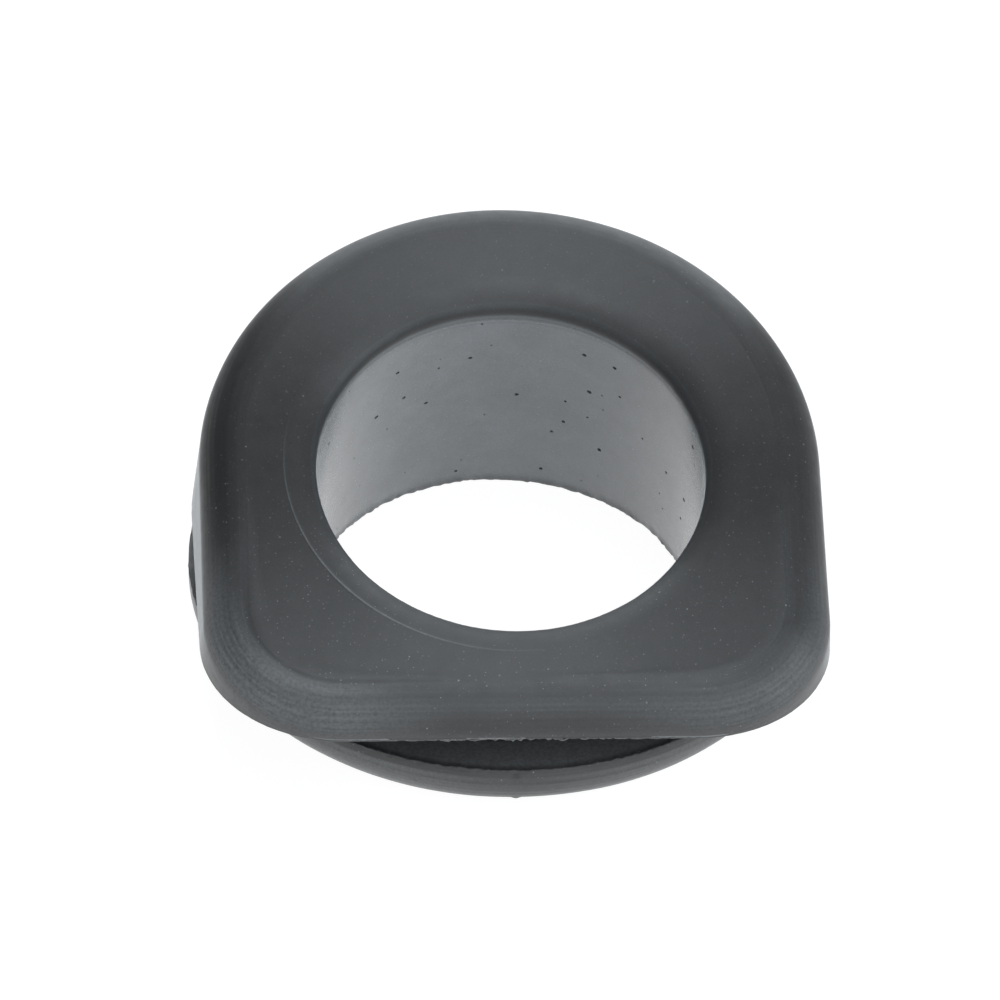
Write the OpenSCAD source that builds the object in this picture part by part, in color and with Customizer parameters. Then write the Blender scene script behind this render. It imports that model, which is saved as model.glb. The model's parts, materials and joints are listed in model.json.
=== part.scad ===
// Angled rubber grommet, moulded in one piece.
//
// A round foot and a D-shaped head grip the edge of a hole in a panel between them. The groove
// they leave is square to the panel. The bore leans forward out of the panel, and the head is a
// wedge: its underside lies flat on the panel, and its top face is square to the leaning bore.
//
// The origin is the centre of the foot's underside, +Z points out of the panel, and the flat
// front of the head, its thin side, faces -Y. All sizes are in millimetres.

/* [Bore] */
// Diameter of the bore, which holds the tube
bore_d = 20; // [14:0.5:26]
// Angle by which the bore leans forward from square to the panel
lean = 15; // [5:0.5:19]
// Width of the rounded entry round the top of the bore, measured on the top face
entry_w = 1.7; // [0.6:0.1:2.4]
// Radius of the rounding of that entry, where it runs down into the bore
entry_round = 2.55; // [2.5:0.05:6]

/* [Groove] */
// Thickness of rubber between the bore's radius and the floor of the groove
neck_wall = 3.5; // [2.8:0.1:6]
// Width of the groove, which is the thickness of the panel it takes
groove_w = 3.5; // [1:0.1:5]

/* [Foot] */
// How far the round foot stands out past the floor of the groove
foot_lip = 2.9; // [1.5:0.1:6]
// Thickness of the foot
foot_t = 3.3; // [2.8:0.1:5]
// Radius of the lead-in round the foot's lower edge
foot_round = 2.7; // [0.5:0.1:2.7]

/* [Head] */
// How far the shoulders of the head stand out past the floor of the groove at the two sides
side_lip = 2.5; // [1.5:0.1:6]
// How far the flat front of the head stands out past the same line
front_lip = 2.1; // [1:0.1:5]
// How far the centre of the round back lies behind the bore's axis
back_shift = 1; // [0:0.1:3]
// Thickness of the head at its thin front edge, along the bore
front_t = 2.3; // [2.3:0.1:5]
// Radius of the two front corners, seen along the bore
corner_r = 7; // [4:0.1:9]
// Radius of the rounding round the edge of the top face
top_round = 2.2; // [0.5:0.1:2.2]
// Draft of the head's walls, which spread from the end of that rounding towards the groove
draft = 3.5; // [0:0.5:5]

/* [Hidden] */
$fn = 180;
RUBBER = [0.29, 0.305, 0.31];

bore_r = bore_d / 2;
entry_r = bore_r + entry_w;
neck_r = bore_r + neck_wall;
foot_r = neck_r + foot_lip;
// Height of the head's underside, which is the groove's upper face
under_z = foot_t + groove_w;

// The head is drawn in the bore's own frame: Z runs up the bore, and -Y is the flat front.
half_w = neck_r + side_lip;
front_y = -(neck_r + front_lip);
back_y = back_shift + half_w;
// Height of the top face up the bore, which leaves front_t over the groove at the front edge
top_s = front_t + (under_z - front_y * sin(lean)) / cos(lean);
// Depth of the walls below the top face, enough for the tall back to reach past the groove
wall_depth = top_s + (back_y * sin(lean) - foot_t) / cos(lean);
// Centres of the front corners' arcs
corner_x = half_w - corner_r;
corner_y = front_y + corner_r;
// Half the side of a block that takes in the whole grommet, for the cutting tools
span = 2 * (back_y + top_s);

// Half of the foot's section: a flat disc with a lead-in round its lower edge
module foot_section() {
    translate([0, foot_round]) square([foot_r, foot_t - foot_round]);
    square([foot_r - foot_round, foot_t]);
    translate([foot_r - foot_round, foot_round])
        intersection() {
            circle(r = foot_round);
            translate([0, -foot_round]) square(foot_round);
        }
}

module foot() {
    rotate_extrude() foot_section();
}

module neck() {
    translate([0, 0, foot_t]) cylinder(r = neck_r, h = groove_w);
}

// Section through the head's edge. It reaches out to the shoulder, where the rounding ends and
// the drafted wall begins, and inside to the far side of what it fills. Y = 0 is the top face.
module edge_section(reach, inside = 0) {
    round_x = reach - top_round;
    wall_x = reach + (wall_depth - top_round) * tan(draft);
    polygon([
        [-inside, -wall_depth],
        [wall_x, -wall_depth],
        [reach, -top_round],
        [round_x, 0],
        [-inside, 0]
    ]);
    translate([round_x, -top_round])
        intersection() {
            circle(r = top_round);
            square(top_round);
        }
}

// The edge carried along a straight side
module edge_run(length, reach, inside = 0) {
    rotate([90, 0, 0]) linear_extrude(height = length) edge_section(reach, inside);
}

// The edge turned round an arc, from one direction through an angle
module edge_turn(from, angle, reach) {
    rotate([0, 0, from]) rotate_extrude(angle = angle) edge_section(reach);
}

// The D-shaped head with one edge all round: a round back, two straight sides, two round corners
// and a flat front, whose run also fills the middle. It hangs from the top face at Z = 0.
module head_block() {
    side_length = back_shift - corner_y;
    translate([0, back_shift, 0]) edge_turn(0, 180, half_w);
    for (side = [0, 1])
        mirror([side, 0, 0]) {
            translate([corner_x, back_shift, 0]) edge_run(side_length, corner_r);
            translate([corner_x, corner_y, 0]) edge_turn(-90, 90, corner_r);
        }
    translate([corner_x, corner_y, 0])
        rotate([0, 0, -90]) edge_run(2 * corner_x, corner_r, side_length);
}

// The block leans with the bore, and the groove's upper face cuts it to a wedge
module head() {
    intersection() {
        rotate([lean, 0, 0]) translate([0, 0, top_s]) head_block();
        translate([-span, -span, under_z]) cube(2 * span);
    }
}

// Half of the section that widens the top of the bore: a rounding that starts level with the
// top face at Y = 0 and turns down until it meets the bore
module entry_section() {
    difference() {
        translate([0, -entry_round]) square([entry_r, 2 * entry_round]);
        translate([entry_r, -entry_round]) circle(r = entry_round);
    }
}

// What the bore takes away, leaning with it
module bore_tool() {
    rotate([lean, 0, 0]) {
        translate([0, 0, -span]) cylinder(r = bore_r, h = 2 * span);
        translate([0, 0, top_s]) rotate_extrude() entry_section();
    }
}

module grommet() {
    color(RUBBER)
        difference() {
            union() {
                foot();
                neck();
                head();
            }
            bore_tool();
        }
}

grommet();
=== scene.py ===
"""Angled rubber grommet: the finish of the moulded piece, and a small studio to look at it in.

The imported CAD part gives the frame: the bore's radius and lean, the groove and the foot come
from its record and its box. The skin is one closed mesh of rings round the bore. It follows
the same section as the part: up the bore, over the rounded entry, across the top face, down
the head's edge and wall, in along the groove, and round the foot. Geometry nodes then add what
moulding leaves: raised tool lines, a ragged parting edge, a slight ripple and the pores.
"""

import json
import math

import bpy
import numpy as np
from mathutils import Matrix, Vector


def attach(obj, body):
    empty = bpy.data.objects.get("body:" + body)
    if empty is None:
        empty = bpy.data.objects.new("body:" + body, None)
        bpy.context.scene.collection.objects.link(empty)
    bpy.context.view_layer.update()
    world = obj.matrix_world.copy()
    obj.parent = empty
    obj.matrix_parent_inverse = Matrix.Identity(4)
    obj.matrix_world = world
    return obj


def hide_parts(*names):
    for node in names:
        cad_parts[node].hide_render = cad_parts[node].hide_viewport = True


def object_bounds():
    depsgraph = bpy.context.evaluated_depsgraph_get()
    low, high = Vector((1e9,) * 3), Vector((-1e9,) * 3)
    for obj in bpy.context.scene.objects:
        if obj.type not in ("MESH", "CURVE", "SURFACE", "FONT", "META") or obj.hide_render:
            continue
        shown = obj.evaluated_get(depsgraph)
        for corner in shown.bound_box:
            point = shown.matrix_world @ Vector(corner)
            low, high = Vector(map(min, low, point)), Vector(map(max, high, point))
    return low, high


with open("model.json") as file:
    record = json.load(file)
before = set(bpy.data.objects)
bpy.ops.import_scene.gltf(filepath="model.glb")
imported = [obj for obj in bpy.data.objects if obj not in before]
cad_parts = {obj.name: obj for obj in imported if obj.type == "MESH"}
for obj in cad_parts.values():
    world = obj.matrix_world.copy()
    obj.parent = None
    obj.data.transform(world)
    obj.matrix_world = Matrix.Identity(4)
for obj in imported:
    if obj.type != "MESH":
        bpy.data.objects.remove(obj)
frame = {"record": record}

bl_info = {
    "name": "Angled Rubber Grommet",
    "version": (1, 0, 0),
    "blender": (4, 5, 0),
    "location": "3D View > Sidebar > Grommet",
    "description": "Builds the moulded skin, rubber finish and studio of an angled rubber grommet",
    "category": "Add Mesh",
}

NODE = "grommet"
BODY = "root"
MM = 0.001
CAD_LOW, CAD_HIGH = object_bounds()
MOUNTS = {mount["name"]: mount for mount in frame["record"]["mounts"]}
BORE = MOUNTS["bore"]
GROOVE = MOUNTS["panel_groove"]
GROOVE_FLOOR_Z = GROOVE["pos_m"][2] - GROOVE["dims"]["length_mm"] * MM / 2

# How many columns of the skin stand along each stretch of the head's outline, on one side.
# The flat front is the stretch that shows its ragged edge best.
COLUMNS = {"back": 156, "side": 32, "corner": 46, "front": 144}


def length(name, description, default, low, high):
    """A length property in metres, shown in the scene's own unit."""
    return bpy.props.FloatProperty(
        name=name,
        description=description,
        default=default,
        min=low,
        max=high,
        precision=5,
        subtype="DISTANCE",
        unit="LENGTH",
    )


def angle(name, description, degrees, low, high):
    """An angle property, given here in degrees."""
    return bpy.props.FloatProperty(
        name=name,
        description=description,
        default=math.radians(degrees),
        min=math.radians(low),
        max=math.radians(high),
        subtype="ANGLE",
        unit="ROTATION",
    )


def factor(name, description, default, low=0.0, high=1.0):
    """A plain number between two limits."""
    return bpy.props.FloatProperty(
        name=name, description=description, default=default, min=low, max=high, precision=4
    )


def colour(name, description, default):
    """A linear colour."""
    return bpy.props.FloatVectorProperty(
        name=name,
        description=description,
        default=default,
        min=0.0,
        max=1.0,
        size=3,
        subtype="COLOR",
    )


class GrommetShape(bpy.types.PropertyGroup):
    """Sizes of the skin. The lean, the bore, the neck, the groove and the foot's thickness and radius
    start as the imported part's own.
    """

    lean: angle(
        "Lean",
        "Angle between the bore and the groove's axis, towards the flat front",
        math.degrees(math.atan2(-BORE["axis"][1], BORE["axis"][2])),
        5,
        19,
    )
    bore_r: length("Bore radius", "Radius of the bore", BORE["dims"]["r_mm"] * MM, 0.007, 0.013)
    neck_r: length(
        "Neck radius", "Radius of the groove's floor", GROOVE["dims"]["r_mm"] * MM, 0.01, 0.02
    )
    groove_w: length(
        "Groove width",
        "Thickness of the panel that the groove takes",
        GROOVE["dims"]["length_mm"] * MM,
        0.001,
        0.005,
    )
    foot_t: length("Foot thickness", "Height of the foot's rim", GROOVE_FLOOR_Z, 0.0028, 0.005)
    foot_r: length("Foot radius", "Radius of the round foot", CAD_HIGH.x, 0.012, 0.024)
    foot_round: length(
        "Foot lead-in", "Radius of the rounding under the foot's rim", 0.0027, 0.0005, 0.0027
    )
    entry_w: length(
        "Entry width", "Width of the rounded entry on the top face", 0.0017, 0.0006, 0.0024
    )
    entry_round: length("Entry rounding", "Radius of the entry's rounding", 0.00255, 0.0025, 0.006)
    half_w: length("Head half width", "From the middle to a shoulder", 0.016, 0.012, 0.022)
    front: length("Head front", "From the bore's axis to the flat front", 0.0156, 0.011, 0.02)
    back_shift: length(
        "Back shift", "How far the round back's centre lies behind the bore's axis", 0.001, 0, 0.003
    )
    corner_r: length("Corner radius", "Radius of the two front corners", 0.007, 0.004, 0.009)
    front_t: length(
        "Front thickness", "Thickness of the head at its thin front", 0.0023, 0.0023, 0.005
    )
    top_round: length(
        "Top rounding", "Radius of the rounding round the top face", 0.0022, 0.0005, 0.0022
    )
    draft: angle("Draft", "Spread of the head's walls towards the groove", 3.5, 0, 5)
    crisp: length("Edge break", "Radius that moulding leaves on a sharp edge", 0.00006, 0, 0.0003)
    entry_edge: length("Entry's edge", "Softening where the entry meets the bore", 0.0003, 0, 0.0004)
    root: length("Root fillet", "Radius in the groove's two inner corners", 0.0002, 0, 0.0005)


class GrommetSurface(bpy.types.PropertyGroup):
    """What moulding leaves on the skin, as inputs of the geometry nodes."""

    line_height: length("Line height", "Height of the tool lines", 0.000022, 0, 0.0002)
    ragged_depth: length("Ragged depth", "How uneven the parting edges are", 0.00016, 0, 0.0005)
    ragged_size: length("Ragged size", "Length of one bite of that edge", 0.00032, 0.0001, 0.002)
    ripple_height: length("Ripple height", "Height of the slow ripple", 0.00003, 0, 0.0002)
    ripple_size: length("Ripple size", "Length of that ripple", 0.006, 0.001, 0.02)
    pore_gap: length("Pore gap", "Least distance between two pores", 0.0006, 0.0002, 0.005)
    pore_count: factor(
        "Pore count", "Pores to each square millimetre of the bore's wall", 0.125, 0, 2
    )
    pore_low: length("Smallest pore", "Radius of the smallest pores", 0.00005, 0, 0.0003)
    pore_high: length("Largest pore", "Radius of the largest pores", 0.00016, 0, 0.0005)
    pore_seed: bpy.props.IntProperty(
        name="Pore seed", description="Which of the random spreads of pores is used", default=4
    )


class GrommetFinish(bpy.types.PropertyGroup):
    """Colours and roughness of the rubber."""

    rubber: colour("Rubber", "Colour of the bare rubber", (0.0400, 0.0398, 0.0405))
    # The bloom colour is partly painted light: paler than the bloom alone, for the bright floor's
    # light in the bore
    bloom_and_floor_light: colour("Bloom", "Colour of the dry bloom in the bore", (0.151, 0.168, 0.182))
    # The dust colour also paints the pale patches of painted light on the head's edge, the foot and
    # the ledge
    dust: colour("Dust", "Colour of the settled dust", (0.30, 0.312, 0.322))
    # The pores' colour, darker than the bloom round them, is painted shade inside the pits
    pore: colour("Pore", "Colour inside the pores", (0.07, 0.074, 0.078))
    roughness: factor("Roughness", "Roughness of the rubber", 0.40)
    bore_roughness: factor("Bore roughness", "Roughness of the bore's wall", 0.25)
    polish: factor("Polish", "How polished the bore's wall is", 0.85)
    drawn: factor("Drawn polish", "How polished the head's wall and the foot are", 0.35)
    polish_roughness: factor("Polish roughness", "Roughness of that polish", 0.27)
    haze: factor("Haze", "Strength of the dusty haze seen at a low angle", 0.4)
    haze_roughness: factor("Haze roughness", "How widely that haze spreads", 0.2)
    grain: factor("Grain", "How much more the shine spreads across the tool marks", 0.88)


class GrommetStudio(bpy.types.PropertyGroup):
    """The camera and the lights."""

    azimuth: angle("Azimuth", "Direction of the camera, from the flat front", -4.2, -180, 180)
    elevation: angle("Elevation", "Height of the camera over the floor", 40.33, -90, 90)
    roll: angle("Roll", "Turn of the camera about its own axis", 2.25, -45, 45)
    distance: length("Distance", "From the camera to its target", 0.53006, 0.1, 2)
    lens: bpy.props.FloatProperty(
        name="Lens", description="Focal length on a 36 mm sensor", default=360, unit="CAMERA"
    )
    left: factor("Left light", "Brightness of the soft box front left", 0.5, 0, 20)
    front: factor("Front light", "Brightness of the soft box in front", 1.3, 0, 20)
    right: factor("Right light", "Brightness of the soft box front right", 1.6, 0, 20)
    back: factor("Back light", "Brightness of the soft box behind", 2.7, 0, 20)
    top: factor("Top light", "Brightness of the small soft box overhead", 5.4, 0, 20)
    tint: colour("Tint", "Colour of the lights", (0.935, 1.0, 1.045))
    room: factor("Room", "Brightness of the room round the lights", 0.05, 0, 1)


# ---------------------------------------------------------------------------------------------
# The skin
# ---------------------------------------------------------------------------------------------


def unit(v):
    """Rows of v, each a vector, made one long."""
    return v / np.maximum(np.linalg.norm(v, axis=-1, keepdims=True), 1e-12)


def blend(a, b, t):
    """The ring that lies t of the way from ring a to ring b. t may differ from column to column."""
    return a + (b - a) * np.asarray(t, float).reshape(-1, 1)


class Outline:
    """The head's D outline in the plane square to the bore, one entry for each column.

    Column j stands at centre[j] + outward[j] * reach[j], and moving it outward offsets the D.
    """

    def __init__(self, shape):
        corner_x = shape.half_w - shape.corner_r
        corner_y = shape.corner_r - shape.front
        centre, outward, reach = [], [], []

        def turn(x, y, first, last, count, radius):
            for t in np.linspace(math.radians(first), math.radians(last), count, endpoint=False):
                centre.append((x, y))
                outward.append((math.cos(t), math.sin(t)))
                reach.append(radius)

        def run(start, end, direction, count, radius):
            for t in np.linspace(0, 1, count, endpoint=False):
                centre.append(tuple(np.array(start) * (1 - t) + np.array(end) * t))
                outward.append(direction)
                reach.append(radius)

        back, corner = (0, shape.back_shift), (corner_x, corner_y)
        turn(*back, 0, 180, COLUMNS["back"], shape.half_w)
        run((-corner_x, back[1]), (-corner_x, corner_y), (-1, 0), COLUMNS["side"], shape.corner_r)
        turn(-corner_x, corner_y, 180, 270, COLUMNS["corner"], shape.corner_r)
        run((-corner_x, corner_y), corner, (0, -1), COLUMNS["front"], shape.corner_r)
        turn(*corner, 270, 360, COLUMNS["corner"], shape.corner_r)
        run(corner, (corner_x, back[1]), (1, 0), COLUMNS["side"], shape.corner_r)
        self.centre = np.array(centre)
        self.outward = np.array(outward)
        self.reach = np.array(reach)[:, None]

    def offset(self, inset):
        """The outline moved inward by inset, as x and y."""
        return self.centre + self.outward * (self.reach - np.reshape(inset, (-1, 1)))


class Skin:
    """Rings of the skin in order along the section, with what the finish needs at each."""

    MARKS = ("bore_wall", "ragged", "edge_run", "foot_run", "tool_line", "scuff")
    MAP = "OFBake"
    # What a run along the section says where it doesn't apply
    FAR = -99.0

    def __init__(self):
        self.rings = []
        self.marks = {name: [] for name in self.MARKS}

    def add(self, ring, **marks):
        """Adds one ring. marks may give one value for the whole ring, or one for each column."""
        self.rings.append(ring)
        for name in self.MARKS:
            value = marks.get(name, self.FAR if name.endswith("run") else 0.0)
            self.marks[name].append(np.broadcast_to(value, len(ring)).astype(np.float32))

    def corner(self, before, point, after, radius, hold=2.2, share=0.3, **marks):
        """Turns the sharp corner at ring point on a small radius, with a ring to hold each side.

        radius is cut to a share of the room that there is. The rings that hold stand at radius
        times hold.
        """
        to_before, to_after = before - point, after - point
        room = np.minimum(np.linalg.norm(to_before, axis=1), np.linalg.norm(to_after, axis=1))
        r = np.minimum(radius, share * room)[:, None]
        first, last = point + unit(to_before) * r, point + unit(to_after) * r
        self.add(point + unit(to_before) * r * hold, **marks)
        for t in (0, 1 / 3, 2 / 3, 1):
            bend = first * (1 - t) ** 2 + point * 2 * t * (1 - t) + last * t**2
            self.add(bend, **marks)
        self.add(point + unit(to_after) * r * hold, **marks)

    def straight(self, start, end, count, ease=1.0, clear=(0, 0), **marks):
        """Adds count rings between start and end, without the ends. ease above 1 crowds the start.

        clear is how far they stay from each end, where a corner's own rings stand.
        """
        way = unit(end - start)
        start, end = start + way * clear[0], end - way * clear[1]
        for i in range(1, count + 1):
            t = (i / (count + 1)) ** ease
            given = {k: v[0] * (1 - t) + v[1] * t for k, v in marks.items() if isinstance(v, tuple)}
            plain = {k: v for k, v in marks.items() if not isinstance(v, tuple)}
            self.add(blend(start, end, t), **given, **plain)

    def mesh(self, name):
        """The closed mesh, whose quads join each ring to the next and the last to the first."""
        rows, columns = len(self.rings), len(self.rings[0])
        index = np.arange(rows * columns).reshape(rows, columns)
        down, across = np.roll(index, -1, 0), np.roll(index, -1, 1)
        quads = np.stack([index, down, np.roll(down, -1, 1), across], -1).reshape(-1, 4)
        mesh = bpy.data.meshes.new(name)
        mesh.from_pydata(np.concatenate(self.rings).tolist(), [], quads.tolist())
        mesh.update()
        for key, values in self.marks.items():
            attribute = mesh.attributes.new(key, "FLOAT", "POINT")
            attribute.data.foreach_set("value", np.concatenate(values))
        self.map_strip(mesh, quads, rows, columns)
        return mesh

    def map_strip(self, mesh, quads, rows, columns):
        """A UV map with the section along U and the way round the bore along V.

        The closed skin is cut once each way, so the last row and column end at 1 and not at 0.
        """
        rings = np.array(self.rings + self.rings[:1])
        along = np.linalg.norm(np.diff(rings, axis=0), axis=2).mean(1)
        u = np.concatenate([[0], np.cumsum(along) / along.sum()])
        v = np.arange(columns + 1) / columns
        self.u = u
        row, column = np.divmod(np.arange(rows * columns), columns)
        places = np.stack(
            [
                np.stack([u[row], v[column]], 1),
                np.stack([u[row + 1], v[column]], 1),
                np.stack([u[row + 1], v[column + 1]], 1),
                np.stack([u[row], v[column + 1]], 1),
            ],
            1,
        )
        layer = mesh.uv_layers.new(name=self.MAP)
        layer.data.foreach_set("uv", places.astype(np.float32).ravel())


class Former:
    """Works out the rings of the skin from the shape's sizes."""

    # Tool lines: how far along the rounding (0 at the top face, 1 at the wall), how far each
    # stands up (or in, below 0), where it is strongest in degrees round the bore, and how far
    # round from there it fades out. Each line keeps a trace of itself all the way round.
    HEAD_LINES = (
        (-0.07, -1.0, -50, 10),
        (0.02, -1.3, -124, 34),
        (0.10, 0.5, -126, 30),
        (0.17, -1.5, -51, 10),
        (0.24, 1.0, -51, 10),
        (0.30, -0.6, -138, 14),
        (0.36, -1.3, -53, 10),
        (0.44, 0.5, 172, 30),
        (0.60, -0.5, 178, 30),
        (0.72, 0.4, -90, 60),
        (0.86, -0.6, -129, 12),
    )
    FOOT_LINES = (
        (0.10, 0.6, -80, 50),
        (0.30, -0.8, -95, 60),
        (0.48, 0.7, -110, 40),
        (0.66, -0.6, -75, 50),
        (0.85, 0.5, -90, 60),
    )
    # And in the last of the bore's wall, under the entry
    BORE_LINES = ((0.2, -0.5, 92, 60), (0.42, 0.5, 88, 80), (0.62, -0.5, 92, 90), (0.84, 0.6, 90, 110))
    # Patches of the head's edge, painted paler as painted light at the front corners and the front,
    # and darker below 0 as painted shade on the left side and near the top face at the front left:
    # how far along the rounding and how far either way, where in degrees and how far either way,
    # and how strong
    PAINTED_LIGHT_AND_SHADE = (
        (0.02, 0.06, -124, 26, -0.4),
        (0.16, 0.18, -133, 22, 0.6),
        (0.29, 0.10, -136, 12, 0.5),
        (0.00, 0.28, -158, 30, 0.18),
        (-0.06, 0.26, -32, 30, 0.22),
        (0.42, 0.25, -86, 50, 0.22),
        (0.62, 0.66, -138, 38, 1.05),
        (0.62, 0.66, -44, 34, 0.6),
        (0.50, 0.75, 176, 46, -0.45),
    )
    # A small dent in the foot's rim and a nub of flash under it: where in degrees, and how far
    # they reach either way
    DENT = (-90.6, 1.7)
    NUB = (-90.1, 1.6)
    # The raised ring where the entry meets the top face: half its width, and where it stands up
    # and where it is painted paler, in degrees and how far either way
    RING_HALF = 0.065 * MM
    RING_UP = (-140, 75)
    RING_PALE = (-138, 66)
    # The lower edge of the head's front, where it is torn and where it is painted paler
    HEM_TORN = (-90, 42)
    HEM_PALE = (-90, 50)
    # How much of a tool line is left away from its strongest place
    TRACE = 0.12
    # Rings on the plain part of the bore's wall, and how much of it above them has tool lines
    WALL_ROWS = 24
    LINED_WALL = 1.25 * MM
    # How far out, in radii, the rings stand that hold a corner's two sides straight, and the same
    # for the softer edge of the entry, with the share of the room that this edge may take
    HOLD = 2.2
    ENTRY_HOLD = 1.25
    ENTRY_SHARE = 0.8
    # Where rings lie between the entry (0) and the start of the head's rounding (1)
    TOP_STEPS = (0.14, 0.3, 0.45, 0.6, 0.74, 0.86)

    def __init__(self, shape):
        self.shape = shape
        self.outline = Outline(shape)
        self.sin, self.cos = math.sin(shape.lean), math.cos(shape.lean)
        self.under_z = shape.foot_t + shape.groove_w
        self.top_s = shape.front_t + (self.under_z + shape.front * self.sin) / self.cos
        boundary = self.outline.offset(shape.top_round)
        self.round_bore = unit(boundary)
        self.skin = Skin()

    def leaning(self, xy, s):
        """A ring given in the bore's own frame, s up the bore."""
        x, y = xy[:, 0], xy[:, 1]
        s = np.broadcast_to(s, x.shape)
        return np.stack([x, y * self.cos - s * self.sin, y * self.sin + s * self.cos], 1)

    def bore_ring(self, radius, s):
        """A round ring square to the bore, s up it."""
        return self.leaning(self.round_bore * radius, s)

    def flat_ring(self, direction, radius, z):
        """A round ring square to the groove's axis."""
        xy = direction * radius
        return np.column_stack([xy, np.full(len(xy), z)])

    def head_ring(self, inset, depth):
        """The head's outline moved inward by inset, at this depth under the top face."""
        return self.leaning(self.outline.offset(inset), self.top_s - np.asarray(depth, float))

    def build(self):
        """Adds every ring in turn, from the bore's lower edge up and round to it again."""
        shape, skin = self.shape, self.skin
        # Bore
        lower_s = -self.round_bore[:, 1] * shape.bore_r * math.tan(shape.lean)
        lower = self.bore_ring(shape.bore_r, lower_s)
        drop = shape.entry_round - math.sqrt(shape.entry_round**2 - shape.entry_w**2)
        rim = self.bore_ring(shape.bore_r, self.top_s - drop)
        foot_flat = self.flat_ring(self.round_bore, shape.foot_r - shape.foot_round, 0)
        crisp, root = shape.crisp * self.HOLD, shape.root * self.HOLD
        skin.corner(foot_flat, lower, rim, shape.crisp * 2, ragged=0.9, bore_wall=0.7)
        self.near_s = self.top_s - drop - self.LINED_WALL
        near = self.bore_ring(shape.bore_r, self.near_s)
        self.wall_row = len(skin.rings)
        skin.straight(lower, near, self.WALL_ROWS, clear=(crisp * 2, 0), bore_wall=1)
        hold = self.ENTRY_HOLD
        rim_low = self.bore_ring(shape.bore_r, self.top_s - drop - hold * shape.entry_edge)
        for run, line in self.with_lines(self.BORE_LINES, 5, 0.06):
            if run < 0.95:
                bloom_and_floor_light = 1 - 0.5 * max(run, 0)
                skin.add(blend(near, rim_low, run), bore_wall=bloom_and_floor_light, tool_line=line)
        # Rounded entry, an arc that ends level with the top face
        entry_r = shape.bore_r + shape.entry_w
        start = math.asin(shape.entry_w / shape.entry_round)
        entry = []
        clear = 1.5 * shape.entry_edge / shape.entry_round
        for t in np.linspace(start - clear, 0, 8)[:-1]:
            radius = entry_r - shape.entry_round * math.sin(t)
            depth = shape.entry_round * (1 - math.cos(t))
            entry.append(self.bore_ring(radius, self.top_s - depth))
        share = self.ENTRY_SHARE
        soft = {"ragged": 0.1, "bore_wall": 0.25}
        skin.corner(lower, rim, entry[0], shape.entry_edge, hold, share, **soft)
        for ring in entry[1:]:
            skin.add(ring)
        # The fine raised ring where the entry meets the top face
        for step, height in ((-1, 0), (-0.5, 0.7), (0, 1), (0.5, 0.7), (1, 0)):
            ring = self.bore_ring(entry_r + step * self.RING_HALF, self.top_s)
            line = 1.4 * height * self.fade(*self.RING_UP)
            tone_shift = 1.1 * height * self.hill(*self.RING_PALE)
            skin.add(ring, tool_line=line, scuff=tone_shift)
        # Flat top face
        inner = self.bore_ring(entry_r + 0.1 * MM, self.top_s)
        edge = self.head_ring(shape.top_round, 0)
        gap = np.linalg.norm(edge - inner, axis=1) / MM
        skin.add(inner, edge_run=-gap)
        for t in self.TOP_STEPS:
            skin.add(blend(inner, edge, t), edge_run=-gap * (1 - t))
        # Rounded edge of the head
        for run, line in self.with_lines(self.HEAD_LINES, 20):
            turn = max(run, 0) * math.pi / 2
            inset = shape.top_round * (1 - math.sin(turn) - min(run, 0))
            depth = shape.top_round * (1 - math.cos(turn))
            arc_mm = (turn if run > 0 else run) * shape.top_round / MM
            ring = self.head_ring(inset, depth)
            skin.add(ring, edge_run=arc_mm, tool_line=line, scuff=self.scuff(run))
        # Drafted wall, down to the groove's upper face
        shoulder = self.head_ring(0, shape.top_round)
        spread = math.tan(shape.draft)
        ray = self.head_ring(-spread * MM, shape.top_round + MM) - shoulder
        wall = (shoulder[:, 2] - self.under_z) / -ray[:, 2]
        hem = shoulder + ray * wall[:, None]
        past = math.pi / 2 * shape.top_round / MM
        neck_way = unit(hem[:, :2])
        neck_top = self.flat_ring(neck_way, shape.neck_r, self.under_z)
        run = (past, past + wall)
        # The wall carries on the painted light and shade of the edge's patches at the end of the
        # rounding
        skin.straight(shoulder, hem, 16, 1.15, (0, crisp), edge_run=run, scuff=self.scuff(1))
        torn = {
            "ragged": 0.12 + 1.6 * self.hill(*self.HEM_TORN),
            "scuff": 0.7 * self.hill(*self.HEM_PALE),
        }
        skin.corner(shoulder, hem, neck_top, shape.crisp, edge_run=past + wall, **torn)
        # Groove
        skin.straight(hem, neck_top, 5, clear=(crisp, root))
        neck_foot = self.flat_ring(neck_way, shape.neck_r, shape.foot_t)
        skin.corner(hem, neck_top, neck_foot, shape.root)
        skin.straight(neck_top, neck_foot, 4, clear=(root, root))
        foot_edge = self.flat_ring(neck_way, shape.foot_r, shape.foot_t)
        skin.corner(neck_top, neck_foot, foot_edge, shape.root)
        # The ledge lies in shade under the head and is painted paler: partly dust, partly painted
        # light
        skin.straight(neck_foot, foot_edge, 6, clear=(root, crisp), scuff=1.0)
        # Foot's rim and lead-in
        rim_foot = self.flat_ring(neck_way, shape.foot_r, shape.foot_round)
        skin.corner(neck_foot, foot_edge, rim_foot, shape.crisp, ragged=0.6, foot_run=0)
        rim_t = shape.foot_t - shape.foot_round
        dent, nub = self.hill(*self.DENT), self.hill(*self.NUB)
        run = (0, rim_t / MM)
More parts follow.
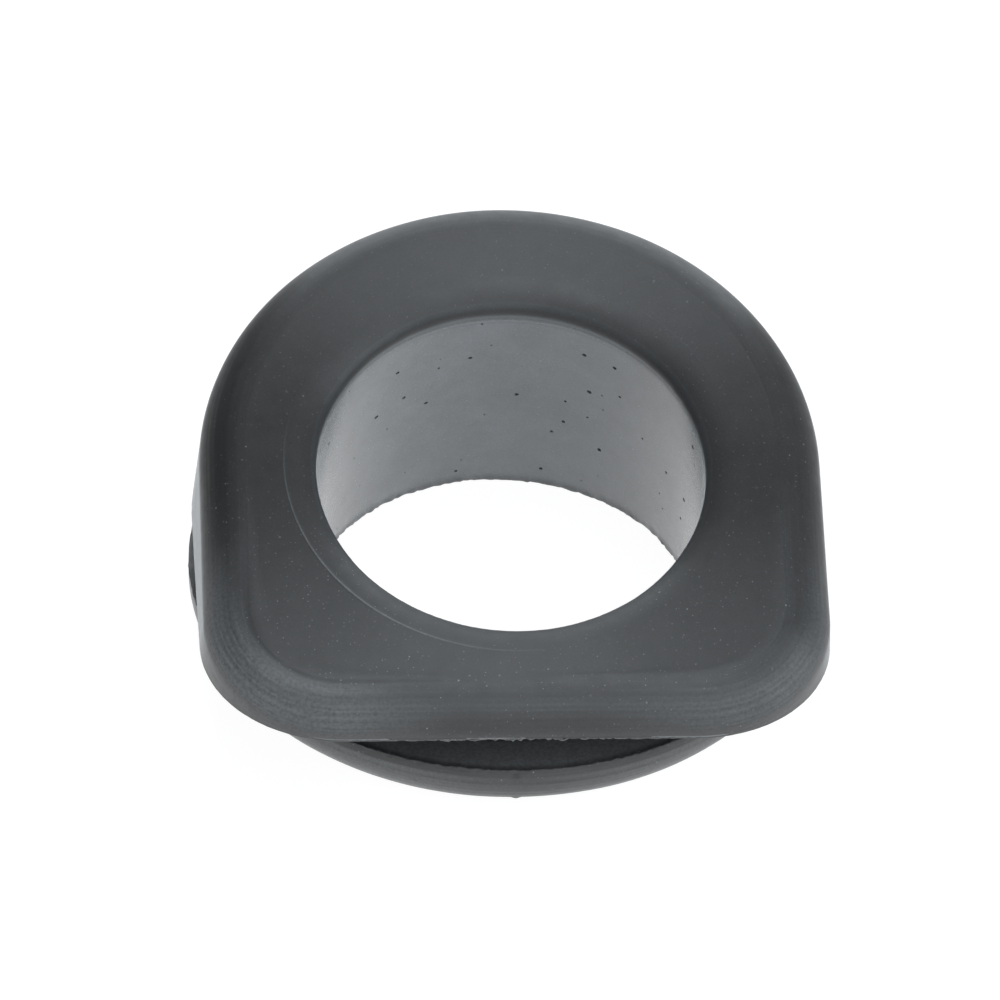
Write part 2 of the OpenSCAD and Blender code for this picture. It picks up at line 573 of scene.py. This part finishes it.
        # The dent is pushed in and painted darker inside: painted shade
        sunk = {"tool_line": -3 * dent, "scuff": -0.6 * dent}
        skin.straight(foot_edge, rim_foot, 3, clear=(crisp, 0), foot_run=run, **sunk)
        for run, line in self.with_lines(self.FOOT_LINES, 16):
            turn = max(run, 0) * math.pi / 2
            radius = shape.foot_r - shape.foot_round * (1 - math.cos(turn))
            z = shape.foot_round * (1 - math.sin(turn))
            arc_mm = (rim_t + turn * shape.foot_round) / MM
            ring = self.flat_ring(neck_way, radius, z)
            line = line + 4 * nub * self.peak(run, 0.52, 0.12)
            skin.add(ring, foot_run=arc_mm, tool_line=line, scuff=self.foot_painted_light(run))
        # Flat underside, back to the bore
        foot_flat = self.flat_ring(neck_way, shape.foot_r - shape.foot_round, 0)
        skin.straight(foot_flat, lower, 5, clear=(0, crisp * 2))
        return skin

    def map_pores(self, mesh):
        """Gives the faces inside the pores the place in the strip map that the wall had there."""
        marks = mesh.attributes["pore"].data
        flags = np.zeros(len(marks), np.float32)
        marks.foreach_get("value", flags)
        layer = mesh.uv_layers[Skin.MAP].data
        columns = len(self.round_bore)
        turns = np.unwrap(np.arctan2(self.round_bore[:, 1], self.round_bore[:, 0]))
        first, last = self.skin.u[self.wall_row], self.skin.u[self.wall_row + self.WALL_ROWS - 1]
        for index in np.flatnonzero(flags > 0.5):
            polygon = mesh.polygons[int(index)]
            places = []
            for corner in polygon.loop_indices:
                x, y, z = mesh.vertices[mesh.loops[corner].vertex_index].co
                across = y * self.cos + z * self.sin
                turn = (math.atan2(across, x) - turns[0]) % math.tau + turns[0]
                v = float(np.interp(turn, turns, np.arange(columns))) / columns
                low = -across * math.tan(self.shape.lean) + 2 * self.HOLD * self.shape.crisp
                t = (z * self.cos - y * self.sin - low) / (self.near_s - low)
                row = t * (self.WALL_ROWS + 1) - 1
                places.append((first + (last - first) * row / (self.WALL_ROWS - 1), v))
            # A pore that lies across the strip's cut goes on past its end
            wrap = max(v for u, v in places) > 0.9
            for corner, (u, v) in zip(polygon.loop_indices, places):
                layer[corner].uv = (u, v + 1 if wrap and v < 0.1 else v)

    def fade(self, middle, half):
        """1 at middle, in degrees round the bore, falling smoothly to a trace half away from it."""
        return self.TRACE + (1 - self.TRACE) * self.hill(middle, half)

    def hill(self, middle, half):
        """1 at middle, in degrees round the bore, falling smoothly to 0 half away from it."""
        turn = np.degrees(np.arctan2(self.round_bore[:, 1], self.round_bore[:, 0]))
        off = np.abs((turn - middle + 180) % 360 - 180)
        return 0.5 + 0.5 * np.cos(np.pi * np.minimum(off / half, 1))

    def peak(self, run, middle, half):
        """1 where run is at middle, falling evenly to 0 half away from it."""
        return max(1 - abs(run - middle) / half, 0)

    def foot_painted_light(self, run):
        """Painted light on the foot's rounding: a painted sheen most half way round it, and painted
        light most at the front left and less at the front right.
        """
        turned = self.peak(run, 0.55, 0.35)
        corners = (0.8 + 0.5 * turned) * self.hill(-128, 42) + 0.5 * self.hill(-52, 38)
        return corners + 0.12 + 0.35 * turned

    def scuff(self, run):
        """How much painted light (above 0) and painted shade (below 0) the head's edge has at each
        place round it, this far along its rounding.
        """
        total = 0
        for place, reach, middle, half, strength in self.PAINTED_LIGHT_AND_SHADE:
            across = 0.5 + 0.5 * math.cos(math.pi * min(abs(run - place) / reach, 1))
            total = total + strength * across * self.hill(middle, half)
        return total

    def with_lines(self, lines, count, half=0.022):
        """(run, height) for each ring of a stretch: even rings, and three at each tool line."""
        rings = {}
        for place, height, middle, spread in lines:
            rings[place - half] = 0.0
            rings[place] = height * self.fade(middle, spread)
            rings[place + half] = 0.0
        for run in np.linspace(0, 1, count + 1):
            if all(abs(run - line[0]) > 2 * half for line in lines):
                rings[float(run)] = 0.0
        return [(run, rings[run]) for run in sorted(rings) if run <= 1]


# ---------------------------------------------------------------------------------------------
# Node trees
# ---------------------------------------------------------------------------------------------


class Tree:
    """A node tree written down one node at a time."""

    def __init__(self, tree):
        self.tree = tree
        tree.nodes.clear()

    def add(self, kind, inputs=None, **settings):
        """Adds a node. inputs maps a socket's name or number to a value or to another socket."""
        node = self.tree.nodes.new(kind)
        for key, value in settings.items():
            setattr(node, key, value)
        for key, value in (inputs or {}).items():
            if isinstance(value, bpy.types.NodeSocket):
                self.tree.links.new(value, node.inputs[key])
            else:
                node.inputs[key].default_value = value
        return node

    def math(self, operation, *values, clamp=False):
        """One Math node's result."""
        node = self.add("ShaderNodeMath", dict(enumerate(values)), operation=operation)
        node.use_clamp = clamp
        return node.outputs[0]

    def vector(self, operation, *values):
        """One Vector Math node's result."""
        node = self.add("ShaderNodeVectorMath", operation=operation)
        for socket, value in zip(node.inputs, values):
            self.put(socket, value)
        return node.outputs["Value" if operation == "DOT_PRODUCT" else "Vector"]

    def scale(self, vector, amount):
        """A vector times a number."""
        node = self.add("ShaderNodeVectorMath", {0: vector}, operation="SCALE")
        self.put(node.inputs["Scale"], amount)
        return node.outputs[0]

    def colour(self, value):
        """A plain colour as a vector, for sums."""
        node = self.add("ShaderNodeCombineXYZ", dict(enumerate(value)))
        return node.outputs[0]

    def mix(self, amount, a, b):
        """Colour a where amount is 0 and b where it is 1."""
        inputs = {0: amount, 4: a, 5: b}
        return self.add("ShaderNodeMix", inputs, data_type="VECTOR").outputs[1]

    def mix_value(self, amount, a, b):
        """Value a where amount is 0 and b where it is 1."""
        return self.add("ShaderNodeMix", {0: amount, 2: a, 3: b}).outputs[0]

    def axis(self, vector, name):
        """One coordinate of a vector."""
        return self.add("ShaderNodeSeparateXYZ", {0: vector}).outputs[name]

    def put(self, socket, value):
        """Links value into socket, or sets it where it is a plain one."""
        if isinstance(value, bpy.types.NodeSocket):
            self.tree.links.new(value, socket)
        else:
            socket.default_value = value

    def spread(self, value, low, high, to_low=0.0, to_high=1.0):
        """value stretched so that low to high becomes to_low to to_high, and held there."""
        inputs = {"Value": value, 1: low, 2: high, 3: to_low, 4: to_high}
        return self.add("ShaderNodeMapRange", inputs, clamp=True).outputs[0]


def surface_tree():
    """Geometry nodes that turn the plain skin into a moulded surface."""
    tree = bpy.data.node_groups.new("moulded_surface", "GeometryNodeTree")
    lengths = ("Line Height", "Ragged Depth", "Ragged Size", "Ripple Height", "Ripple Size")
    pore_sizes = ("Pore Gap", "Pore Count", "Smallest Pore", "Largest Pore")
    sockets = (
        ("Skin", "Geometry"),
        *((name, "Float") for name in lengths + pore_sizes),
        ("Pore Seed", "Int"),
        ("Bore Axis", "Vector"),
        ("Finish", "Material"),
    )
    for name, kind in sockets:
        tree.interface.new_socket(name, in_out="INPUT", socket_type="NodeSocket" + kind)
    tree.interface.new_socket("Surface", in_out="OUTPUT", socket_type="NodeSocketGeometry")
    t = Tree(tree)
    given = t.add("NodeGroupInput").outputs
    normal = t.add("GeometryNodeInputNormal").outputs[0]

    def mark(name):
        kind = "GeometryNodeInputNamedAttribute"
        return t.add(kind, {"Name": name}, data_type="FLOAT").outputs["Attribute"]

    def store(geometry, name, value, domain, **where):
        """The geometry with a mark written on its points or its faces."""
        inputs = {"Geometry": geometry, "Name": name, "Value": value, **where}
        kind = "GeometryNodeStoreNamedAttribute"
        return t.add(kind, inputs, data_type="FLOAT", domain=domain).outputs[0]

    def moved(geometry, **how):
        """The geometry with its points moved by Offset or put at Position."""
        return t.add("GeometryNodeSetPosition", {"Geometry": geometry, **how}).outputs[0]

    def noise(size, detail, w):
        """Noise from -1 to 1 whose lumps are about size long."""
        inputs = {"Scale": t.math("DIVIDE", 1.0, size), "Detail": detail, "W": w}
        node = t.add("ShaderNodeTexNoise", inputs, noise_dimensions="4D")
        return t.math("MULTIPLY_ADD", node.outputs[0], 2.0, -1.0)

    # Relief along the normal: tool lines and a slow ripple
    lines = t.math("MULTIPLY", mark("tool_line"), given["Line Height"])
    ripple = t.math("MULTIPLY", noise(given["Ripple Size"], 1.0, 0.0), given["Ripple Height"])
    relief = t.scale(normal, t.math("ADD", lines, ripple))
    raised = moved(given["Skin"], Offset=relief)
    # Ragged edges: a sideways bite out of the edge, from noise in three directions
    bite = t.add(
        "ShaderNodeCombineXYZ",
        {i: noise(given["Ragged Size"], 2.0, 3.0 + 5.0 * i) for i in range(3)},
    ).outputs[0]
    depth = t.math("MULTIPLY", mark("ragged"), given["Ragged Depth"])
    bitten = moved(raised, Offset=t.scale(bite, depth))
    # The underside stays flat
    place = t.add("GeometryNodeInputPosition").outputs[0]
    level = t.math("MAXIMUM", t.axis(place, "Z"), 0.0)
    flat = t.add("ShaderNodeCombineXYZ", {0: t.axis(place, "X"), 1: t.axis(place, "Y"), 2: level})
    bitten = moved(bitten, Position=flat.outputs[0])
    # Pores: uneven balls let into the bore's wall and cut away, with fixed seeds. Most are small.
    in_bore = t.math("GREATER_THAN", mark("bore_wall"), 0.9)
    points = t.add(
        "GeometryNodeDistributePointsOnFaces",
        {
            "Mesh": bitten,
            "Selection": in_bore,
            "Distance Min": given["Pore Gap"],
            "Density Max": given["Pore Count"],
            "Seed": given["Pore Seed"],
        },
        distribute_method="POISSON",
    )
    chance = t.add("FunctionNodeRandomValue", {"Seed": 7}, data_type="FLOAT").outputs[1]
    small = t.math("POWER", chance, 2.2)
    size = t.spread(small, 0.0, 1.0, given["Smallest Pore"], given["Largest Pore"])
    sown = store(points.outputs["Points"], "size", size, "POINT")
    # Their middles stand a little off the wall, so that only a shallow cap is cut
    along = t.vector("DOT_PRODUCT", place, given["Bore Axis"])
    radial = t.vector("SUBTRACT", place, t.scale(given["Bore Axis"], along))
    inward = t.scale(t.vector("NORMALIZE", radial), t.math("MULTIPLY", mark("size"), -0.5))
    lifted = moved(sown, Offset=inward)
    ball = t.add("GeometryNodeMeshIcoSphere", {"Radius": 1.0, "Subdivisions": 3}).outputs[0]
    squeeze = t.add(
        "FunctionNodeRandomValue",
        {0: (0.85, 0.85, 0.85), 1: (1.15, 1.15, 1.15), "Seed": 3},
        data_type="FLOAT_VECTOR",
    ).outputs[0]
    pores = t.add(
        "GeometryNodeInstanceOnPoints",
        {"Points": lifted, "Instance": ball, "Scale": t.scale(squeeze, mark("size"))},
    ).outputs[0]
    pores = t.add("GeometryNodeRealizeInstances", {0: pores}).outputs[0]
    pores = store(pores, "pore", 1.0, "FACE")
    cut = t.add(
        "GeometryNodeMeshBoolean", {0: bitten, 1: pores}, operation="DIFFERENCE", solver="MANIFOLD"
    ).outputs[0]
    # The cut leaves new points round each pore, which get the wall's marks back
    on_pore = t.math("GREATER_THAN", mark("pore"), 0.0)
    for name, value in (("bore_wall", 1.0), ("edge_run", Skin.FAR), ("foot_run", Skin.FAR)):
        cut = store(cut, name, value, "POINT", Selection=on_pore)
    smooth = t.add("GeometryNodeSetShadeSmooth", {0: cut}).outputs[0]
    # The pores' edges stay crisp: those between a face of a pore and one of the wall
    sharp = t.math("COMPARE", mark("pore"), 0.5, 0.3)
    smooth = t.add(
        "GeometryNodeSetShadeSmooth",
        {"Geometry": smooth, "Selection": sharp, "Shade Smooth": False},
        domain="EDGE",
    ).outputs[0]
    placed = t.add("GeometryNodeRealizeInstances", {0: smooth}).outputs[0]
    done = t.add(
        "GeometryNodeSetMaterial", {"Geometry": placed, "Material": given["Finish"]}
    ).outputs[0]
    t.add("NodeGroupOutput", {"Surface": done})
    return tree


def apply_tree(mesh, tree, values):
    """Runs a geometry tree on a mesh and returns the plain mesh that comes out."""
    worker = bpy.data.objects.new("worker", mesh)
    bpy.context.scene.collection.objects.link(worker)
    modifier = worker.modifiers.new("surface", "NODES")
    modifier.node_group = tree
    for item in tree.interface.items_tree:
        if item.in_out == "INPUT" and item.name in values:
            modifier[item.identifier] = values[item.name]
    graph = bpy.context.evaluated_depsgraph_get()
    made = bpy.data.meshes.new_from_object(worker.evaluated_get(graph), depsgraph=graph)
    worker.modifiers.remove(modifier)
    bpy.data.objects.remove(worker)
    return made


def rubber_material(finish):
    """Dark moulded rubber: fine grain, tool lines, a dry bloom in the bore, pores, dust, and painted
    light and shade.
    """
    material = bpy.data.materials.new("moulded_rubber")
    material.use_nodes = True
    t = Tree(material.node_tree)
    place = t.add("ShaderNodeTexCoord").outputs["Object"]

    def mark(name):
        return t.add("ShaderNodeAttribute", attribute_name=name).outputs["Fac"]

    def noise(size, detail=2.0, vector=None):
        """Noise from 0 to 1 whose lumps are about size millimetres long."""
        inputs = {"Vector": vector or place, "Scale": 1 / (size * MM), "Detail": detail}
        return t.add("ShaderNodeTexNoise", inputs).outputs["Fac"]

    uneven = noise(0.08, 1.0)

    def specks(gap, radius, seed):
        """Uneven specks, 1 in the middle and 0 outside. gap is from one to the next, in mm."""
        moved = t.add("ShaderNodeVectorMath", {0: place, 1: (seed, seed, seed)}).outputs[0]
        cells = t.add("ShaderNodeTexVoronoi", {"Vector": moved, "Scale": 1 / (gap * MM)}).outputs
        off = t.math("MULTIPLY_ADD", uneven, 0.9 * radius / gap, cells["Distance"])
        spot = t.spread(off, 1.35 * radius / gap, 0.75 * radius / gap)
        chance = t.math("POWER", t.axis(cells["Color"], "X"), 2.0)
        return t.math("MULTIPLY", spot, t.spread(chance, 0.0, 1.0, 0.2, 1.0))

    def fine_lines(run, gap, seed):
        """Uneven lines along the outline, from the distance along the section in mm."""
        inputs = {"W": t.math("ADD", run, seed), "Scale": 1 / gap, "Detail": 2.0}
        return t.add("ShaderNodeTexNoise", inputs, noise_dimensions="1D").outputs["Fac"]

    bore, pore = mark("bore_wall"), mark("pore")
    head_run, foot_run = mark("edge_run"), mark("foot_run")
    on_edge = t.spread(head_run, -0.6, 0.3)
    on_foot = t.spread(foot_run, -1.0, 0.0)
    lined = t.math("MAXIMUM", on_edge, on_foot)
    run = t.math("MAXIMUM", head_run, foot_run)

    # Colour: the bare rubber is a little uneven, and the bore's wall has a dry bloom in blotches,
    # painted lighter towards the bottom. The bloom's colour is partly painted light from the
    # bright floor seen through the bore
    slow = t.spread(noise(5.0, 1.0), 0.3, 0.7, 0.94, 1.06)
    mottle = t.spread(noise(0.9, 2.0), 0.3, 0.7, 0.95, 1.05)
    grain = t.spread(noise(0.10, 2.0), 0.25, 0.75, 0.86, 1.14)
    # The rubber is painted darker where the mark read here is below 0: painted shade on the head's
    # left side, near the top face at the front left and in the foot's dent
    tone_shift = t.spread(mark("scuff"), -1.0, 0.0)
    tint = t.math("MULTIPLY", t.math("MULTIPLY", slow, tone_shift), mottle)
    bare = t.scale(t.colour(finish.rubber), tint)
    blotch = t.spread(noise(2.2, 2.0), 0.3, 0.7, 0.88, 1.12)
    lighter_low = t.spread(t.axis(place, "Z"), 0.0, 0.012, 1.14, 1.0)
    tint = t.math("MULTIPLY", t.math("MULTIPLY", blotch, mottle), lighter_low)
    bloom_and_floor_light = t.scale(t.colour(finish.bloom_and_floor_light), tint)
    tone = t.mix(t.spread(bore, 0.2, 0.9), bare, bloom_and_floor_light)
    tone = t.scale(tone, grain)
    # Dust: many fine specks, more of them towards the front, and a few coarse ones
    front = t.spread(t.math("MULTIPLY", t.axis(place, "Y"), -1.0), -0.012, 0.014, 0.25, 1.0)
    dust = t.math(
        "MAXIMUM",
        t.math("MULTIPLY", specks(0.26, 0.05, 0.0), 0.75),
        t.math("MULTIPLY", specks(0.8, 0.075, 0.3), 1.0),
    )
    dust = t.math("MULTIPLY", dust, front)
    # Streaks along the outline, that come and go
    streak = t.spread(fine_lines(run, 0.22, 4.0), 0.35, 0.65, -1.0, 1.0)
    streak = t.math("MULTIPLY", streak, t.spread(noise(3.0, 2.0), 0.35, 0.65, 0.2, 1.0))
    streak = t.math("MULTIPLY", streak, lined)
    deep = t.mix_value(on_foot, 0.10, 0.20)
    tone = t.scale(tone, t.math("MULTIPLY_ADD", streak, deep, 1.0))
    # Where that mark is above 0, patches go towards the dust colour: painted light at the head's front
    # corners and front and on the foot, partly dust and partly painted light on the ledge under the
    # head, and paler marks along the raised ring and the front hem
    patchy = t.math("MULTIPLY_ADD", streak, 0.3, t.spread(noise(0.16, 2.0), 0.3, 0.65, 0.65, 1.25))
    rubbed_and_painted_light = t.math("MULTIPLY", t.math("MAXIMUM", mark("scuff"), 0.0), patchy)
    pale = t.math("MAXIMUM", t.math("MULTIPLY", dust, 0.8), t.math("MULTIPLY", rubbed_and_painted_light, 0.32))
    tone = t.mix(pale, tone, t.colour(finish.dust))
    # Painted shade inside the pores: their faces take the darker pore colour
    tone = t.mix(pore, tone, t.colour(finish.pore))

    # Relief too fine for the mesh: the grain, and uneven lines along the head's edge and the foot
    ridges = t.mix_value(on_foot, 0.0019 * MM, 0.0045 * MM)
    lines = t.math("MULTIPLY", fine_lines(run, 0.16, 0.0), t.math("MULTIPLY", lined, ridges))
    coarse = t.math("MULTIPLY", noise(0.35, 2.0), 0.0035 * MM)
    fine = t.math("MULTIPLY", noise(0.07, 1.0), 0.0009 * MM)
    height = t.math("ADD", lines, t.math("ADD", coarse, fine))
    bump = t.add("ShaderNodeBump", {"Height": height, "Distance": 1.0}).outputs[0]

    # The mould is turned and milled, so its fine marks run round the bore and along the outline.
    # The shine spreads across them: along the section, which is U of the strip map.
    across = t.add("ShaderNodeTangent", direction_type="UV_MAP", uv_map=Skin.MAP).outputs[0]
    rough = t.mix_value(t.spread(bore, 0.2, 0.9), finish.roughness, finish.bore_roughness)
    rough = t.math("MULTIPLY", rough, t.spread(noise(0.6, 1.0), 0.3, 0.7, 0.93, 1.07))
    rough = t.math("MULTIPLY_ADD", dust, 0.3, rough, clamp=True)
    rough = t.mix_value(pore, rough, 0.9)
    # The core that forms the bore is polished, and so is the wall it leaves. The part is drawn out
    # of the mould along the head's wall and the foot, which makes them smoother too.
    drawn = t.math("MAXIMUM", t.spread(head_run, 2.6, 3.5), t.spread(foot_run, -0.2, 0.4))
    drawn = t.math("MULTIPLY", drawn, finish.drawn)
    polish = t.math("MULTIPLY", t.spread(bore, 0.5, 1.0), finish.polish)
    polish = t.mix_value(pore, t.math("MAXIMUM", polish, drawn), 0.0)
    shader = t.add(
        "ShaderNodeBsdfPrincipled",
        {
            "Base Color": tone,
            "Roughness": rough,
            "IOR": 1.5,
            "Anisotropic": finish.grain,
            "Coat Weight": polish,
            "Coat Roughness": finish.polish_roughness,
            "Sheen Weight": finish.haze,
            "Sheen Roughness": finish.haze_roughness,
            "Sheen Tint": (0.97, 1.0, 1.02, 1.0),
            "Tangent": across,
            "Normal": bump,
        },
    )
    t.add("ShaderNodeOutputMaterial", {"Surface": shader.outputs[0]})
    return material


# ---------------------------------------------------------------------------------------------
# Operators
# ---------------------------------------------------------------------------------------------


class GROMMET_OT_body(bpy.types.Operator):
    """Build the moulded rubber body in place of the plain CAD part"""

    bl_idname = "grommet.body"
    bl_label = "Moulded Body"

    def execute(self, context):
        scene = context.scene
        surface = scene.grommet_surface
        former = Former(scene.grommet_shape)
        skin = former.build().mesh("grommet_skin")
        values = {
            "Line Height": surface.line_height,
            "Ragged Depth": surface.ragged_depth,
            "Ragged Size": surface.ragged_size,
            "Ripple Height": surface.ripple_height,
            "Ripple Size": surface.ripple_size,
            "Pore Gap": surface.pore_gap,
            "Pore Count": surface.pore_count / MM**2,
            "Smallest Pore": surface.pore_low,
            "Largest Pore": surface.pore_high,
            "Pore Seed": surface.pore_seed,
            "Bore Axis": (0.0, -former.sin, former.cos),
            "Finish": rubber_material(scene.grommet_finish),
        }
        mesh = apply_tree(skin, surface_tree(), values)
        mesh.name = "grommet_body"
        former.map_pores(mesh)
        body = bpy.data.objects.new("grommet_body", mesh)
        scene.collection.objects.link(body)
        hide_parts(NODE)
        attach(body, BODY)
        return {"FINISHED"}


class GROMMET_OT_studio(bpy.types.Operator):
    """Set up the pale floor, the soft lights and the camera"""

    bl_idname = "grommet.studio"
    bl_label = "Studio"

    # Where the camera aims, in mm: a point on the floor, under the back of the bore
    TARGET = (0.361, 8.738, 0.0)
    # The floor: half its width, its colour in the light, and what the camera sees of it, which is
    # a glow just under white over a thin grey that takes the shadow
    FLOOR_HALF = 3.0
    FLOOR_COLOUR = (0.8, 0.8, 0.8, 1)
    SHADOW_COLOUR = (0.15, 0.15, 0.15, 1)
    FLOOR_GLOW = 0.95
    # The soft boxes: which brightness each has, its direction and height in degrees, how far it
    # stands away, its width and its height, all in metres
    BOXES = (
        ("left", -44, 33, 0.62, 0.52, 0.78),
        ("front", 12, 33, 0.62, 0.52, 0.78),
        ("right", 68, 33, 0.62, 0.52, 0.78),
        ("back", 174, 26, 0.5, 0.46, 0.48),
        ("top", 0, 90, 0.5, 0.2, 0.2),
    )

    def execute(self, context):
        scene = context.scene
        studio = scene.grommet_studio
        self.camera(scene, studio)
        self.floor(scene)
        self.lights(scene, studio)
        scene.view_settings.view_transform = "Standard"
        return {"FINISHED"}

    def camera(self, scene, studio):
        """A long lens on the object, from above its flat front."""
        target = Vector(self.TARGET) * MM
        az, el = studio.azimuth, studio.elevation
        back = Vector((math.sin(az) * math.cos(el), -math.cos(az) * math.cos(el), math.sin(el)))
        right = Vector((math.cos(az), math.sin(az), 0))
        up = back.cross(right)
        turn = Matrix.Rotation(studio.roll, 3, "Z")
        data = bpy.data.cameras.new("camera")
        data.sensor_width = 36
        data.lens = studio.lens
        data.clip_start, data.clip_end = 0.01, 20
        camera = bpy.data.objects.new("camera", data)
        axes = Matrix((right, up, back)).transposed() @ turn
        camera.matrix_world = Matrix.Translation(target + back * studio.distance) @ axes.to_4x4()
        scene.collection.objects.link(camera)
        scene.camera = camera

    def floor(self, scene):
        """A pale floor that looks nearly white, and still takes the shadow."""
        mesh = bpy.data.meshes.new("floor")
        half = self.FLOOR_HALF
        corners = [(-half, -half, 0), (half, -half, 0), (half, half, 0), (-half, half, 0)]
        mesh.from_pydata(corners, [], [(0, 1, 2, 3)])
        floor = bpy.data.objects.new("floor", mesh)
        scene.collection.objects.link(floor)
        material = bpy.data.materials.new("floor")
        material.use_nodes = True
        t = Tree(material.node_tree)
        rays = t.add("ShaderNodeLightPath").outputs
        seen = t.math("ADD", rays["Is Camera Ray"], rays["Is Glossy Ray"])
        seen = t.math("ADD", seen, rays["Is Transmission Ray"], clamp=True)
        plain = t.add("ShaderNodeBsdfDiffuse", {"Color": self.FLOOR_COLOUR}).outputs[0]
        thin = t.add("ShaderNodeBsdfDiffuse", {"Color": self.SHADOW_COLOUR}).outputs[0]
        glow = t.add("ShaderNodeEmission", {"Strength": self.FLOOR_GLOW}).outputs[0]
        white = t.add("ShaderNodeAddShader", {0: thin, 1: glow}).outputs[0]
        mixed = t.add("ShaderNodeMixShader", {0: seen, 1: plain, 2: white}).outputs[0]
        t.add("ShaderNodeOutputMaterial", {"Surface": mixed})
        mesh.materials.append(material)

    def lights(self, scene, studio):
        """Soft boxes turned to the part, in a dim room."""
        world = bpy.data.worlds.new("room")
        world.use_nodes = True
        t = Tree(world.node_tree)
        room = t.add("ShaderNodeBackground", {"Strength": studio.room}).outputs[0]
        t.add("ShaderNodeOutputWorld", {"Surface": room})
        scene.world = world
        middle = Vector((0, 0, (CAD_LOW.z + CAD_HIGH.z) / 2))
        for kind, azimuth, elevation, away, width, height in self.BOXES:
            az, el = math.radians(azimuth), math.radians(elevation)
            way = Vector((math.sin(az) * math.cos(el), -math.cos(az) * math.cos(el), math.sin(el)))
            data = bpy.data.lights.new(kind, "AREA")
            data.shape = "RECTANGLE"
            data.size, data.size_y = width, height
            data.energy = getattr(studio, kind) * math.pi * width * height
            data.color = studio.tint
            box = bpy.data.objects.new(kind, data)
            box.location = middle + way * away
            box.rotation_euler = way.to_track_quat("Z", "Y").to_euler()
            box.visible_camera = False
            scene.collection.objects.link(box)


class GROMMET_PT_panel(bpy.types.Panel):
    """The grommet's sizes, surface, finish and studio, with a button for each operator"""

    bl_idname = "GROMMET_PT_panel"
    bl_label = "Grommet"
    bl_space_type = "VIEW_3D"
    bl_region_type = "UI"
    bl_category = "Grommet"

    def draw(self, context):
        scene = context.scene
        groups = (
            ("Shape", scene.grommet_shape),
            ("Surface", scene.grommet_surface),
            ("Finish", scene.grommet_finish),
            ("Studio", scene.grommet_studio),
        )
        for title, group in groups:
            box = self.layout.box()
            box.label(text=title)
            for key in group.bl_rna.properties.keys():
                if key not in ("rna_type", "name"):
                    box.prop(group, key)
        self.layout.operator(GROMMET_OT_body.bl_idname)
        self.layout.operator(GROMMET_OT_studio.bl_idname)


CLASSES = (
    GrommetShape,
    GrommetSurface,
    GrommetFinish,
    GrommetStudio,
    GROMMET_OT_body,
    GROMMET_OT_studio,
    GROMMET_PT_panel,
)
GROUPS = {
    "grommet_shape": GrommetShape,
    "grommet_surface": GrommetSurface,
    "grommet_finish": GrommetFinish,
    "grommet_studio": GrommetStudio,
}


def register():
    """Makes the classes and the scene's settings known."""
    for item in CLASSES:
        bpy.utils.register_class(item)
    for name, group in GROUPS.items():
        setattr(bpy.types.Scene, name, bpy.props.PointerProperty(type=group))


def unregister():
    """Takes them away again."""
    for name in GROUPS:
        delattr(bpy.types.Scene, name)
    for item in reversed(CLASSES):
        bpy.utils.unregister_class(item)


def main():
    """Builds the body and the studio."""
    register()
    bpy.ops.grommet.body()
    bpy.ops.grommet.studio()


if __name__ == "__main__":
    main()
